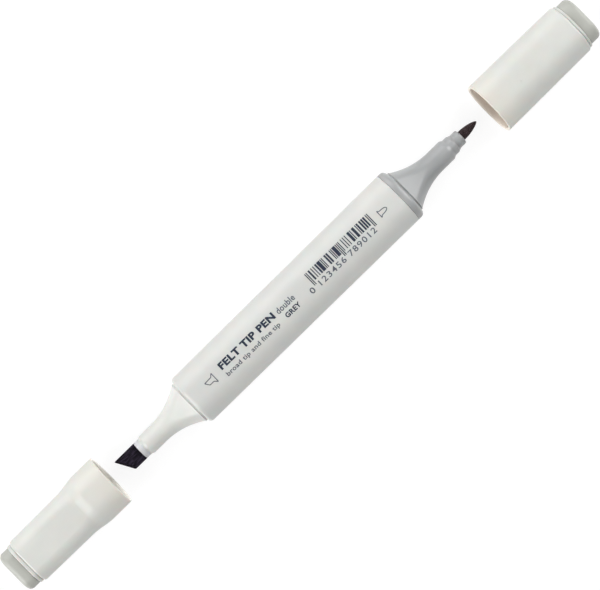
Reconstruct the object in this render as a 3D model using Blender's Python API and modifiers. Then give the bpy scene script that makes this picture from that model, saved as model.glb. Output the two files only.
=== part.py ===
"""Twin-tip felt marker with both caps drawn off, lying on its flat side.

The long axis runs along X: the broad chisel tip points to -X and the fine tip to +X.
The origin lies under the middle of the barrel, on the surface that the marker rests on.
Sizes are in millimetres here and become metres when a mesh is made.
"""

import math

import bmesh
import bpy

MM = 0.001

# ---- Driving sizes --------------------------------------------------------------------

BARREL_HALF_HEIGHT = 7.1
BROAD_END_HALF_WIDTH = 7.86
FINE_END_HALF_WIDTH = 8.1
BROAD_END = -40.05
FINE_END = 38.15
AXIS_HEIGHT = BARREL_HALF_HEIGHT

WALL = 0.92
FIT_GAP = 0.1
SEAM = 0.05
EDGE = 0.01

BROAD_CAP_MOUTH = -69.95
FINE_CAP_MOUTH = 72.9
BROAD_CAP_LENGTH = 32.25
FINE_CAP_LENGTH = 32.0

# ---- Cross-sections -------------------------------------------------------------------

CORNER_STEPS = 8
ROUND_STEPS = 4 * CORNER_STEPS
HALF_STEP = math.pi / (4 * CORNER_STEPS)


def section(x, half_width, half_height, flat_y=0.0, flat_z=0.0, slant=0.0):
    """A rounded rectangle across X whose corners are quarter ellipses.

    flat_y and flat_z are half the straight runs on top and at the sides; with none, the
    section is an ellipse. Each corner's points sit half a step off its ends, so a narrow
    level facet is left underneath. slant leans the section: x grows by slant for each mm of y.
    """
    reach = 1.0 / math.cos(HALF_STEP)
    radius_y = (half_width - flat_y) * reach
    radius_z = (half_height - flat_z) * reach
    points = []
    for corner in range(4):
        side_y = 1 if corner in (0, 3) else -1
        side_z = 1 if corner in (0, 1) else -1
        for step in range(CORNER_STEPS):
            angle = (corner * CORNER_STEPS + step + 0.5) * 2 * HALF_STEP
            y = side_y * flat_y + radius_y * math.cos(angle)
            z = side_z * flat_z + radius_z * math.sin(angle)
            points.append((x + slant * y, y, z))
    return points


def circle(x, radius):
    """A round section across X."""
    return section(x, radius, radius)


# ---- Makers ---------------------------------------------------------------------------


def clear_scene():
    for old in list(bpy.data.objects):
        bpy.data.objects.remove(old, do_unlink=True)


def make_material(name, colour, roughness, metallic=0.0):
    material = bpy.data.materials.new(name)
    material.use_nodes = True
    shader = material.node_tree.nodes["Principled BSDF"]
    shader.inputs["Base Color"].default_value = (*colour, 1.0)
    shader.inputs["Roughness"].default_value = roughness
    shader.inputs["Metallic"].default_value = metallic
    return material


def place(name, mesh, material, parent):
    """Puts a mesh in the marker's collection, hanging from its body's empty."""
    piece = bpy.data.objects.new(name, mesh)
    mesh.materials.append(material)
    marker.objects.link(piece)
    piece.parent = parent
    return piece


def make_body(name, x):
    """An empty on the long axis: the pieces of one rigid body hang from it."""
    body = bpy.data.objects.new(name, None)
    marker.objects.link(body)
    body.location = (x * MM, 0.0, AXIS_HEIGHT * MM)
    return body


def loft(name, rings, material, parent, hollow=False):
    """Joins sections of one body in turn, given along X from its empty.

    A hollow piece's sections go out along its outer wall and come back along its inner one,
    and the last joins the first. Any other piece is closed by a flat face at each end.
    """
    shape = bmesh.new()
    loops = [[shape.verts.new([c * MM for c in point]) for point in ring] for ring in rings]
    pairs = list(zip(loops, loops[1:]))
    if hollow:
        pairs.append((loops[-1], loops[0]))
    for near, far in pairs:
        for i in range(ROUND_STEPS):
            j = (i + 1) % ROUND_STEPS
            shape.faces.new((near[i], near[j], far[j], far[i]))
    if not hollow:
        shape.faces.new(loops[0])
        shape.faces.new(loops[-1])
    bmesh.ops.recalc_face_normals(shape, faces=shape.faces)
    mesh = bpy.data.meshes.new(name)
    shape.to_mesh(mesh)
    shape.free()
    mesh.shade_smooth()
    mesh.set_sharp_from_angle(angle=math.radians(35))
    return place(name, mesh, material, parent)


def turned(name, outline, material, parent, closed=False):
    """A round piece: (x, radius) points, from high x down the outer side, spun about X."""
    mesh = bpy.data.meshes.new(name)
    points = [(radius * MM, 0.0, x * MM) for x, radius in outline]
    edges = [(i, i + 1) for i in range(len(points) - 1)]
    if closed:
        edges.append((len(points) - 1, 0))
    mesh.from_pydata(points, edges, [])
    piece = place(name, mesh, material, parent)
    piece.rotation_euler = (0.0, math.pi / 2, 0.0)
    spin = piece.modifiers.new("Spin", "SCREW")
    spin.axis = "Z"
    spin.steps = ROUND_STEPS
    spin.render_steps = ROUND_STEPS
    spin.use_merge_vertices = True
    spin.merge_threshold = 0.000001
    spin.use_smooth_shade = True
    return piece


# ---- Barrel ---------------------------------------------------------------------------

BARREL_FLAT = 1.4
BORE_HALF_WIDTH = 6.95
BORE_HALF_HEIGHT = BARREL_HALF_HEIGHT - WALL
BROAD_SHOULDER = 1.3
SHOULDER_INSET = 0.85
SHOULDER_STEPS = 3


def rounded_edge(length, inset, steps):
    """(along, in) offsets of a rounded edge, from its full size to its end."""
    turns = [math.pi / 2 * i / steps for i in range(steps + 1)]
    return [(length * math.sin(t), inset * (1 - math.cos(t))) for t in turns]


def make_barrel(material, body):
    """Off-white tube, a little wider at the fine end, with a rounded shoulder at the broad end."""

    def wall(x, half_width, half_height):
        return section(x, half_width, half_height, BARREL_FLAT, BARREL_FLAT)

    rings = [wall(FINE_END, FINE_END_HALF_WIDTH, BARREL_HALF_HEIGHT)]
    for along, inset in rounded_edge(BROAD_SHOULDER, SHOULDER_INSET, SHOULDER_STEPS):
        x = BROAD_END + BROAD_SHOULDER - along
        rings.append(wall(x, BROAD_END_HALF_WIDTH - inset, BARREL_HALF_HEIGHT - inset))
    rings.append(wall(BROAD_END, BORE_HALF_WIDTH, BORE_HALF_HEIGHT))
    rings.append(wall(FINE_END, BORE_HALF_WIDTH, BORE_HALF_HEIGHT))
    loft("barrel", rings, material, body, hollow=True)


# ---- Noses ----------------------------------------------------------------------------

SKIRT_START = 33.0
SKIRT_HALF_WIDTH = BORE_HALF_WIDTH - FIT_GAP
SKIRT_HALF_HEIGHT = BORE_HALF_HEIGHT - FIT_GAP
SKIRT_WALL = 1.0

FLANGE_LENGTH = 0.95
FLANGE_ROUNDING = 1.3
FLANGE_INSET = 1.15
BROAD_FLARE_START = 40.5
FINE_FLARE_START = 40.85
FLARE_LENGTH = 12.0
FLARE_HALF_WIDTH = 6.72
FLARE_HALF_HEIGHT = 5.45
FLARE_FLAT_Y = 4.0
FLARE_FLAT_Z = 1.2
FLARE_POWER = 2.15
FLAT_END = 0.6
FLAT_POWER = 1.2
FLARE_STEPS = 8
GROOVE_HALF_WIDTH = 6.55
GROOVE_HALF_HEIGHT = 5.3

BROAD_NECK_RADIUS = 3.08
BROAD_NECK_END = 57.6
BROAD_NECK_BORE = 2.5
FINE_NECK_RADIUS = 3.18
FINE_NECK_END = 58.2
FINE_STEP_RADIUS = 2.7
FINE_STEP_END = 59.85
FINE_NECK_BORE = 2.35
BORE_DEPTH_FROM = 49.0
NECK_END_STEPS = 4


def flare_section(x, share, neck_radius, wall=0.0):
    """The nose's section at a share of the flare's length.

    Width and height fall to the neck's radius as (1 - share) to a power, and the flats on the
    faces taper to nothing at FLAT_END, which leaves a flat panel with hollow sides on each face.
    """
    drop = (1 - share) ** FLARE_POWER
    half_width = neck_radius + (FLARE_HALF_WIDTH - neck_radius) * drop - wall
    half_height = neck_radius + (FLARE_HALF_HEIGHT - neck_radius) * drop - wall
    flat = max(0.0, 1 - share / FLAT_END) ** FLAT_POWER
    return section(x, half_width, half_height, FLARE_FLAT_Y * flat, FLARE_FLAT_Z * flat)


def nose_rings(end, base, flare_start, neck_radius, tip, bore):
    """Sections of a nose: the skirt in the barrel, base, groove, flare, neck tip, then the inside.

    end is -1 for the broad nose and 1 for the fine one; base and tip are its own sections.
    """

    def skirt(x, wall=0.0):
        half_width = SKIRT_HALF_WIDTH - wall
        half_height = SKIRT_HALF_HEIGHT - wall
        return section(end * x, half_width, half_height, BARREL_FLAT, BARREL_FLAT)

    def groove(x):
        flat_y = FLARE_FLAT_Y
        return section(end * x, GROOVE_HALF_WIDTH, GROOVE_HALF_HEIGHT, flat_y, FLARE_FLAT_Z)

    groove_start = base[-1][0]
    rings = [skirt(SKIRT_START)]
    for x, half_width, half_height in base:
        rings.append(section(end * x, half_width, half_height, BARREL_FLAT, BARREL_FLAT))
    rings += [groove(groove_start + EDGE), groove(flare_start - EDGE)]
    for i in range(FLARE_STEPS + 1):
        share = i / FLARE_STEPS
        x = end * (flare_start + FLARE_LENGTH * share)
        rings.append(flare_section(x, share, neck_radius))
    rings += [circle(end * x, radius) for x, radius in tip]
    rings += [circle(end * tip[-1][0], bore), circle(end * BORE_DEPTH_FROM, bore)]
    for share in (0.45, 0.25, 0.1):
        x = end * (flare_start + FLARE_LENGTH * share)
        rings.append(flare_section(x, share, neck_radius, SKIRT_WALL))
    rings.append(skirt(SKIRT_START, SKIRT_WALL))
    return rings


def neck_end(x, radius, length, inset):
    """(x, radius) steps of a neck that comes in by inset, in an S-shaped curve that ends at x."""
    turns = [i / NECK_END_STEPS for i in range(NECK_END_STEPS + 1)]
    return [(x - length + length * t, radius - inset * (1 - math.cos(math.pi * t)) / 2) for t in turns]


def make_broad_nose(material, body):
    """Off-white nose: its skirt plugs the barrel, and its round neck holds the chisel tip's sleeve."""
    base = [(-BROAD_END + 0.05, SKIRT_HALF_WIDTH, SKIRT_HALF_HEIGHT)]
    tip = neck_end(BROAD_NECK_END, BROAD_NECK_RADIUS, 1.5, 0.34)
    rings = nose_rings(-1, base, BROAD_FLARE_START, BROAD_NECK_RADIUS, tip, BROAD_NECK_BORE)
    loft("broad_nose", rings, material, body, hollow=True)


def make_fine_nose(material, body):
    """Grey nose: a flange flush with the barrel, the flare, and a neck stepped down to the tip."""
    flange = FINE_END + SEAM
    base = [
        (flange - EDGE, SKIRT_HALF_WIDTH, SKIRT_HALF_HEIGHT),
        (flange, FINE_END_HALF_WIDTH, BARREL_HALF_HEIGHT),
    ]
    for along, inset in rounded_edge(FLANGE_ROUNDING, FLANGE_INSET, SHOULDER_STEPS):
        x = flange + FLANGE_LENGTH + along
        base.append((x, FINE_END_HALF_WIDTH - inset, BARREL_HALF_HEIGHT - inset))
    tip = neck_end(FINE_NECK_END, FINE_NECK_RADIUS, 1.7, FINE_NECK_RADIUS - FINE_STEP_RADIUS)
    tip += neck_end(FINE_STEP_END, FINE_STEP_RADIUS - 0.03, 0.9, 0.28)
    rings = nose_rings(1, base, FINE_FLARE_START, FINE_NECK_RADIUS, tip, FINE_NECK_BORE)
    loft("fine_nose", rings, material, body, hollow=True)


# ---- Tip sleeves and tips ---------------------------------------------------------------

BROAD_SLEEVE_FRONT = -59.05
BROAD_SLEEVE_RADIUS = 2.7
BROAD_SLEEVE_BORE = 2.08
FINE_SLEEVE_FRONT = 62.3
FINE_SLEEVE_RADIUS = 2.25
FINE_SLEEVE_BORE = 1.55
SLEEVE_BACK = 48.0

CHISEL_HALF_WIDTH = 2.7
CHISEL_HALF_HEIGHT = 1.5
CHISEL_POINT = -66.25
CHISEL_HEEL = -63.25
CHISEL_BEVEL = 0.8
CHISEL_EDGE_HALF_HEIGHT = 0.75
SHANK_HALF_WIDTH = 1.68
SHANK_HALF_HEIGHT = 1.1

BULLET_RADIUS = 1.45
BULLET_START = 62.5
BULLET_POINT = 68.15
BULLET_STEPS = 7
TIP_TAIL = 27.0


def make_sleeves(broad_material, fine_material, body):
    """The tubes that grip the tips: a collared translucent one, and a plain grey one."""
    collar = -(BROAD_NECK_END + SEAM)
    spigot = BROAD_NECK_BORE - FIT_GAP
    outline = [
        (-SLEEVE_BACK, BROAD_SLEEVE_BORE),
        (-SLEEVE_BACK, spigot),
        (collar, spigot),
        (collar, BROAD_SLEEVE_RADIUS),
        (BROAD_SLEEVE_FRONT + 0.1, BROAD_SLEEVE_RADIUS),
        (BROAD_SLEEVE_FRONT, BROAD_SLEEVE_RADIUS - 0.1),
        (BROAD_SLEEVE_FRONT, BROAD_SLEEVE_BORE),
    ]
    turned("broad_tip_sleeve", outline, broad_material, body, closed=True)
    outline = [
        (FINE_SLEEVE_FRONT, FINE_SLEEVE_BORE),
        (FINE_SLEEVE_FRONT, FINE_SLEEVE_RADIUS - 0.35),
        (FINE_SLEEVE_FRONT - 0.2, FINE_SLEEVE_RADIUS - 0.13),
        (FINE_SLEEVE_FRONT - 0.55, FINE_SLEEVE_RADIUS),
        (SLEEVE_BACK, FINE_SLEEVE_RADIUS),
        (SLEEVE_BACK, FINE_SLEEVE_BORE),
    ]
    turned("fine_tip_sleeve", outline, fine_material, body, closed=True)


def make_chisel_tip(material, body):
    """Pressed felt block cut on the slant, with a wedge edge and a shank to the ink."""

    def block(x, half_width, half_height, slant=0.0):
        flat_y = half_width - 0.3
        flat_z = half_height - 0.3
        return section(x, half_width, half_height, flat_y, flat_z, slant)

    middle = (CHISEL_POINT + CHISEL_HEEL) / 2
    slant = (CHISEL_POINT - CHISEL_HEEL) / (2 * CHISEL_HALF_WIDTH)
    head = BROAD_SLEEVE_FRONT - SEAM
    rings = [
        block(-TIP_TAIL, SHANK_HALF_WIDTH, SHANK_HALF_HEIGHT),
        block(head + EDGE, SHANK_HALF_WIDTH, SHANK_HALF_HEIGHT),
        block(head, CHISEL_HALF_WIDTH, CHISEL_HALF_HEIGHT),
        block(middle + CHISEL_BEVEL, CHISEL_HALF_WIDTH, CHISEL_HALF_HEIGHT, slant),
        block(middle, CHISEL_HALF_WIDTH - 0.05, CHISEL_EDGE_HALF_HEIGHT, slant),
    ]
    loft("broad_tip", rings, material, body)


def make_bullet_tip(material, body):
    """Round felt rod ground to a slender point: its radius falls as a power of the distance."""
    length = BULLET_POINT - BULLET_START
    outline = [(BULLET_POINT, 0.0)]
    for i in range(1, BULLET_STEPS + 1):
        share = (i / BULLET_STEPS) ** 1.6
        radius = BULLET_RADIUS * math.sin(math.pi / 2 * share) ** 0.6
        outline.append((BULLET_POINT - length * share, radius))
    outline += [(TIP_TAIL, BULLET_RADIUS), (TIP_TAIL, 0.0)]
    turned("fine_tip", outline, material, body)


# ---- Ink reservoir ----------------------------------------------------------------------

RESERVOIR_END = 32.7
RESERVOIR_RADIUS = 5.5
FILM_THICKNESS = 0.18
TIP_HOLE_BOTTOM = 26.7


def make_reservoir(fibre_material, film_material, body):
    """Bundle of fibre that holds the ink, with a hole for each tip, in a thin film sleeve."""
    outline = [
        (TIP_HOLE_BOTTOM, 0.0),
        (TIP_HOLE_BOTTOM, BULLET_RADIUS + FIT_GAP),
        (RESERVOIR_END, BULLET_RADIUS + FIT_GAP),
        (RESERVOIR_END, RESERVOIR_RADIUS),
        (-RESERVOIR_END, RESERVOIR_RADIUS),
        (-RESERVOIR_END, BROAD_SLEEVE_BORE),
        (-TIP_HOLE_BOTTOM, BROAD_SLEEVE_BORE),
        (-TIP_HOLE_BOTTOM, 0.0),
    ]
    turned("ink_reservoir", outline, fibre_material, body)
    inner = RESERVOIR_RADIUS + FIT_GAP
    outer = inner + FILM_THICKNESS
    end = RESERVOIR_END
    outline = [(end, inner), (end, outer), (-end, outer), (-end, inner)]
    turned("reservoir_film", outline, film_material, body, closed=True)


# ---- Caps -------------------------------------------------------------------------------

BROAD_CAP_HALF_WIDTH = 7.97
FINE_CAP_HALF_WIDTH = 8.06
STEP_START = 6.6
STEP_END = 13.2
FACE_STEP_START = 7.4
FACE_STEP_END = 11.3
LIP_INSET = 0.42
END_ROUNDING = 0.6
MOUTH_ROUNDING = 0.3
MOUTH_BEVEL = 0.35
MOUTH_BEVEL_LENGTH = 0.7
RIB_START = 27.6
RIB_END = 28.7
RIB_HEIGHT = 0.75

LINER_MOUTH = 11.8
LINER_WALL = 0.6
LINER_FLOOR = 28.45
LINER_FLANGE_START = 28.8
LINER_FLANGE_END = 29.5

PLUG_SKIRT_START = 29.65
PLUG_SKIRT_WALL = 0.9
PLUG_FLOOR = 1.2
PLUG_ROUNDING = 1.5
PLUG_FLAT_Z = 2.4


def smooth(value, low, high):
    """0 below low, 1 above high, with a smooth turn between."""
    t = min(1.0, max(0.0, (value - low) / (high - low)))
    return t * t * (3 - 2 * t)


def broad_cap_size(depth):
    """Half width, half height and the two half flats of the broad cap, by depth from its mouth.

    Past its mouth the cap steps down all round, steeply on its two faces and gently at its
    sides, and its section turns squarer.
    """
    body = smooth(depth, STEP_START, STEP_END)
    face = smooth(depth, FACE_STEP_START, FACE_STEP_END)
    step = 0.62 + 0.011 * depth
    half_width = BROAD_CAP_HALF_WIDTH - step * body
    half_height = BARREL_HALF_HEIGHT - 0.9 * step * face
    return half_width, half_height, BARREL_FLAT + 1.6 * body, BARREL_FLAT + 0.4 * body


def fine_cap_size(depth):
    """The same four sizes for the fine cap, which is straight but for its moulding draft."""
    draft = 0.0072 * depth
    return FINE_CAP_HALF_WIDTH - draft, BARREL_HALF_HEIGHT - draft, BARREL_FLAT, BARREL_FLAT


def cap_section(end, depth, size, inset=0.0):
    half_width, half_height, flat_y, flat_z = size(depth)
    return section(end * depth, half_width - inset, half_height - inset, flat_y, flat_z)


def make_cap_shell(name, end, size, length, lip_length, material, body):
    """Outer cap: an open tube with a rounded mouth, a stepped lip, and a rib inside for the liner."""

    def at(depth, inset=0.0):
        return cap_section(end, depth, size, inset)

    lip = length - lip_length
    rib = WALL + RIB_HEIGHT
    steps = [STEP_START + (STEP_END - STEP_START) * i / 8 for i in range(9)]
    outer = [at(MOUTH_ROUNDING - a, i) for a, i in rounded_edge(MOUTH_ROUNDING, MOUTH_ROUNDING, 2)]
    outer.reverse()
    outer += [at(depth) for depth in steps]
    outer += [at(lip - END_ROUNDING + a, i) for a, i in rounded_edge(END_ROUNDING, LIP_INSET, 3)]
    outer.append(at(length, LIP_INSET))
    inner = [at(length, WALL), at(RIB_END, WALL), at(RIB_END - EDGE, rib)]
    inner += [at(RIB_START, rib), at(RIB_START - EDGE, WALL)]
    inner += [at(depth, WALL) for depth in reversed(steps)]
    inner += [at(MOUTH_BEVEL_LENGTH, WALL), at(0.0, WALL - MOUTH_BEVEL)]
    loft(name, outer + inner, material, body, hollow=True)


def make_liner(name, end, size, bore, material, body):
    """Inner cap: a round cup that seals on the neck, with a flange held behind the shell's rib."""
    outer = bore + LINER_WALL
    flange = size(LINER_FLANGE_END)[1] - WALL - FIT_GAP
    outline = [
        (LINER_FLOOR, 0.0),
        (LINER_FLOOR, bore),
        (LINER_MOUTH + 0.5, bore),
        (LINER_MOUTH, bore + 0.3),
        (LINER_MOUTH, outer),
        (LINER_FLANGE_START, outer),
        (LINER_FLANGE_START, flange),
        (LINER_FLANGE_END, flange),
        (LINER_FLANGE_END, 0.0),
    ]
    points = [(end * depth, radius) for depth, radius in outline]
    if end > 0:
        points.reverse()
    turned(name, points, material, body)


def make_plug(name, end, size, length, head, material, body):
    """Colour plug in the cap's far end: a rounded head outside, and a hollow skirt in the shell."""
    half_width, half_height, flat_y, head_length = head

    def head_at(depth, inset=0.0):
        x = end * depth
        return section(x, half_width - inset, half_height - inset, flat_y, PLUG_FLAT_Z)

    def skirt_at(depth, inset):
        return cap_section(end, depth, size, WALL + FIT_GAP + inset)

    top = length + SEAM + head_length
    rings = []
    for along, inset in reversed(rounded_edge(PLUG_ROUNDING, PLUG_ROUNDING, 3)):
        rings.append(head_at(top - PLUG_ROUNDING + along, inset))
    rings += [head_at(length + SEAM), skirt_at(length + SEAM - EDGE, 0.0)]
    rings += [skirt_at(PLUG_SKIRT_START, 0.0), skirt_at(PLUG_SKIRT_START, PLUG_SKIRT_WALL)]
    rings.append(skirt_at(length - PLUG_FLOOR, PLUG_SKIRT_WALL))
    loft(name, rings, material, body)


# ---- Assembly ---------------------------------------------------------------------------

clear_scene()
marker = bpy.data.collections.new("twin_tip_marker")
bpy.context.scene.collection.children.link(marker)

off_white = make_material("off_white_plastic", (0.78, 0.78, 0.74), 0.38)
grey = make_material("grey_plastic", (0.47, 0.48, 0.48), 0.4)
plug_grey = make_material("plug_grey_plastic", (0.52, 0.53, 0.49), 0.42)
milky = make_material("milky_plastic", (0.78, 0.8, 0.84), 0.3)
natural = make_material("liner_plastic", (0.8, 0.8, 0.78), 0.35)
inked_felt = make_material("inked_felt", (0.03, 0.025, 0.035), 0.9)
ink_fibre = make_material("ink_fibre", (0.06, 0.055, 0.07), 0.95)
film = make_material("clear_film", (0.75, 0.76, 0.78), 0.15)

pen = make_body("pen_body", 0.0)
make_barrel(off_white, pen)
make_broad_nose(off_white, pen)
make_fine_nose(grey, pen)
make_sleeves(milky, grey, pen)
make_chisel_tip(inked_felt, pen)
make_bullet_tip(inked_felt, pen)
make_reservoir(ink_fibre, film, pen)

broad_cap = make_body("broad_cap_body", BROAD_CAP_MOUTH)
make_cap_shell("broad_cap_shell", -1, broad_cap_size, BROAD_CAP_LENGTH, 1.15, off_white, broad_cap)
make_liner("broad_cap_liner", -1, broad_cap_size, 3.25, natural, broad_cap)
broad_head = (6.3, 5.45, 3.3, 3.6)
make_plug("broad_cap_plug", -1, broad_cap_size, BROAD_CAP_LENGTH, broad_head, plug_grey, broad_cap)

fine_cap = make_body("fine_cap_body", FINE_CAP_MOUTH)
make_cap_shell("fine_cap_shell", 1, fine_cap_size, FINE_CAP_LENGTH, 0.9, off_white, fine_cap)
make_liner("fine_cap_liner", 1, fine_cap_size, 3.35, natural, fine_cap)
fine_head = (6.95, 6.1, 2.8, 3.75)
make_plug("fine_cap_plug", 1, fine_cap_size, FINE_CAP_LENGTH, fine_head, plug_grey, fine_cap)
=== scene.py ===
import math

import bmesh
import bpy
import numpy as np
from mathutils import Matrix, Vector


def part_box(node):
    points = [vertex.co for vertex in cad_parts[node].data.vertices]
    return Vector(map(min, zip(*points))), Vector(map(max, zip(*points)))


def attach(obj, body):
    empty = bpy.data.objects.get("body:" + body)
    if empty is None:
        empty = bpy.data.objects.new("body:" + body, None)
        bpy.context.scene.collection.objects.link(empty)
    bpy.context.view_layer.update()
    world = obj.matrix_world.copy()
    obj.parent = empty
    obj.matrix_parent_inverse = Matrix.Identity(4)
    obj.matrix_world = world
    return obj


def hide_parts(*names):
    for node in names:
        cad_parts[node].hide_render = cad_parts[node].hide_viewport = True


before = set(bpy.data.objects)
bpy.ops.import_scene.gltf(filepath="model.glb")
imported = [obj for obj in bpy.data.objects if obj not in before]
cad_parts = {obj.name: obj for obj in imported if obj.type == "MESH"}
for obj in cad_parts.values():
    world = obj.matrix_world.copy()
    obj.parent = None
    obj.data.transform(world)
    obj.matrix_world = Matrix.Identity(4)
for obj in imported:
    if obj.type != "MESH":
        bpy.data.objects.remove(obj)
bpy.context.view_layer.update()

# ---- Barrel -------------------------------------------------------------------------------
# The barrel is one injection-moulded ABS tube with a rounded-rectangle section, wider than it
# is high. Its mould leaves a fine satin skin, a slight draft from the fine end to the broad
# one, and a rounded shoulder that the broad cap's mouth stops against.

# Lengths are given in mm, and MM turns them to the scene's metres.
MM = 0.001
CORNER_STEPS = 30
barrel_low, barrel_high = np.array(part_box("barrel")) / MM
AXIS = (barrel_low[2] + barrel_high[2]) / 2
BARREL_HALF_HEIGHT = (barrel_high[2] - barrel_low[2]) / 2
FINE_HALF_WIDTH = barrel_high[1]
BROAD_HALF_WIDTH = 7.86
BARREL_FLAT = 1.4
BARREL_WALL = 0.92
BORE_HALF_WIDTH = 6.95
BORE_HALF_HEIGHT = BARREL_HALF_HEIGHT - BARREL_WALL
SHOULDER_LENGTH = 1.3
SHOULDER_INSET = 0.85
SEAM_LENGTH = 0.15
SEAM_INSET = 0.12


def sections(x, half_y, half_z, flat_y=0.0, flat_z=0.0, slant=0.0):
    """Rounded rectangles across X, one for each x, as an array of rows of points in mm.

    Each corner is a quarter ellipse, and flat_y and flat_z are half the straight runs between
    the corners. The points sit half a step off the corners' ends, so no two of them meet, and
    reach brings the middles of the facets out to the ellipse. slant moves a point by slant
    times its y along X, which leans the section.
    """
    step = math.pi / 2 / CORNER_STEPS
    angle = (np.arange(4 * CORNER_STEPS) + 0.5) * step
    sizes = np.broadcast_arrays(*map(np.atleast_1d, (x, half_y, half_z, flat_y, flat_z, slant)))
    x, half_y, half_z, flat_y, flat_z, slant = (size.astype(float)[:, None] for size in sizes)
    reach = 1 / math.cos(step / 2)
    y = np.sign(np.cos(angle)) * flat_y + (half_y - flat_y) * reach * np.cos(angle)
    z = np.sign(np.sin(angle)) * flat_z + (half_z - flat_z) * reach * np.sin(angle)
    return np.stack([x + slant * y, y, AXIS + z], axis=-1)


def fillet(length, inset, steps=6):
    """A quarter-round edge as two arrays: the way along it, and how far it has come in.

    They are length times a sine and inset times one less a cosine, over a quarter turn.
    """
    angle = np.linspace(0, math.pi / 2, steps + 1)
    return length * np.sin(angle), inset * (1 - np.cos(angle))


def ease(length, inset, steps=12):
    """A soft step as two arrays: the way along it, and how far it has come in.

    It comes in by half a cosine wave, so it starts and ends along the surface.
    """
    share = np.linspace(0, 1, steps + 1)
    return length * share, inset * (1 - np.cos(math.pi * share)) / 2


def skin(name, shells, ring=False, sharp=32.0, lining=None):
    """One mesh from arrays of rows of points in mm: each row is a closed loop round the piece.

    Each row joins the next. With ring, the last row joins the first, as on a tube with a wall;
    otherwise the first and last rows are closed by a pole at their middles. Faces from the row
    numbered lining on take the mesh's second material.
    """
    shape = bmesh.new()
    for rows in shells:
        if not ring:
            poles = [np.tile(rows[end].mean(axis=0), (1, rows.shape[1], 1)) for end in (0, -1)]
            rows = np.concatenate([poles[0], rows, poles[1]])
        count, around = rows.shape[:2]
        first = np.arange(count if ring else count - 1)[:, None]
        second = (first + 1) % count
        near = np.arange(around)[None]
        far = (near + 1) % around
        corners = [(first, near), (first, far), (second, far), (second, near)]
        faces = np.stack([row * around + column for row, column in corners], axis=-1)
        loft = bpy.data.meshes.new(name)
        loft.from_pydata((rows.reshape(-1, 3) * MM).tolist(), [], faces.reshape(-1, 4).tolist())
        if lining is not None:
            second_material = np.broadcast_to(first >= lining, (len(first), around))
            loft.polygons.foreach_set("material_index", second_material.ravel().astype(int))
        shape.from_mesh(loft)
        bpy.data.meshes.remove(loft)
    bmesh.ops.remove_doubles(shape, verts=shape.verts, dist=1e-8)
    bmesh.ops.recalc_face_normals(shape, faces=shape.faces)
    mesh = bpy.data.meshes.new(name)
    shape.to_mesh(mesh)
    shape.free()
    mesh.shade_smooth()
    mesh.set_sharp_from_angle(angle=math.radians(sharp))
    return mesh


def add_piece(name, mesh, material, body, slot, *replaced):
    """Puts a mesh in the scene with its material, riding on a body in place of CAD nodes."""
    piece = bpy.data.objects.new(name, mesh)
    bpy.context.scene.collection.objects.link(piece)
    mesh.materials.append(material)
    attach(piece, body)
    if replaced:
        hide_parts(*replaced)


def linear(hex_colour):
    """An sRGB hex colour as linear red, green, blue and an alpha of 1."""
    srgb = np.array([int(hex_colour[i:i + 2], 16) for i in (0, 2, 4)]) / 255
    rgb = np.where(srgb <= 0.04045, srgb / 12.92, ((srgb + 0.055) / 1.055) ** 2.4)
    return (*rgb.tolist(), 1.0)


def start_material(name, **shader_values):
    """A new material whose Principled shader has these constant values."""
    material = bpy.data.materials.new(name)
    material.use_nodes = True
    shader = material.node_tree.nodes["Principled BSDF"]
    for socket, value in shader_values.items():
        shader.inputs[socket.replace("_", " ")].default_value = value
    return material


def add_node(material, kind, inputs=None, stops=(), **settings):
    """Adds one shader node. An input is a value, or another node's output to link to it.

    stops are the places and hex colours of a colour ramp's two ends.
    """
    node = material.node_tree.nodes.new(kind)
    for setting, value in settings.items():
        setattr(node, setting, value)
    for socket, value in (inputs or {}).items():
        if isinstance(value, bpy.types.NodeSocket):
            material.node_tree.links.new(value, node.inputs[socket])
        else:
            node.inputs[socket].default_value = value
    for number, (position, hex_colour) in enumerate(stops):
        node.color_ramp.elements[number].position = position
        node.color_ramp.elements[number].color = linear(hex_colour)
    return node


def link_shader(material, **outputs):
    """Links patterns to sockets of a material's Principled shader, by the sockets' names."""
    shader = material.node_tree.nodes["Principled BSDF"]
    for socket, output in outputs.items():
        material.node_tree.links.new(output, shader.inputs[socket.replace("_", " ")])


def per_mm(size):
    """The scale of a pattern whose features are that many mm across."""
    return 1 / (size * MM)


def streaks(material, stretch, size, **noise_values):
    """Noise whose features are size mm across and 1 / stretch times as long along X."""
    point = add_node(material, "ShaderNodeTexCoord").outputs["Object"]
    drawn_in = {"Vector": point, "Scale": (stretch, 1.0, 1.0)}
    drawn = add_node(material, "ShaderNodeMapping", drawn_in).outputs["Vector"]
    noise_in = {"Vector": drawn, "Scale": per_mm(size), **noise_values}
    return add_node(material, "ShaderNodeTexNoise", noise_in).outputs["Fac"]


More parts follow.
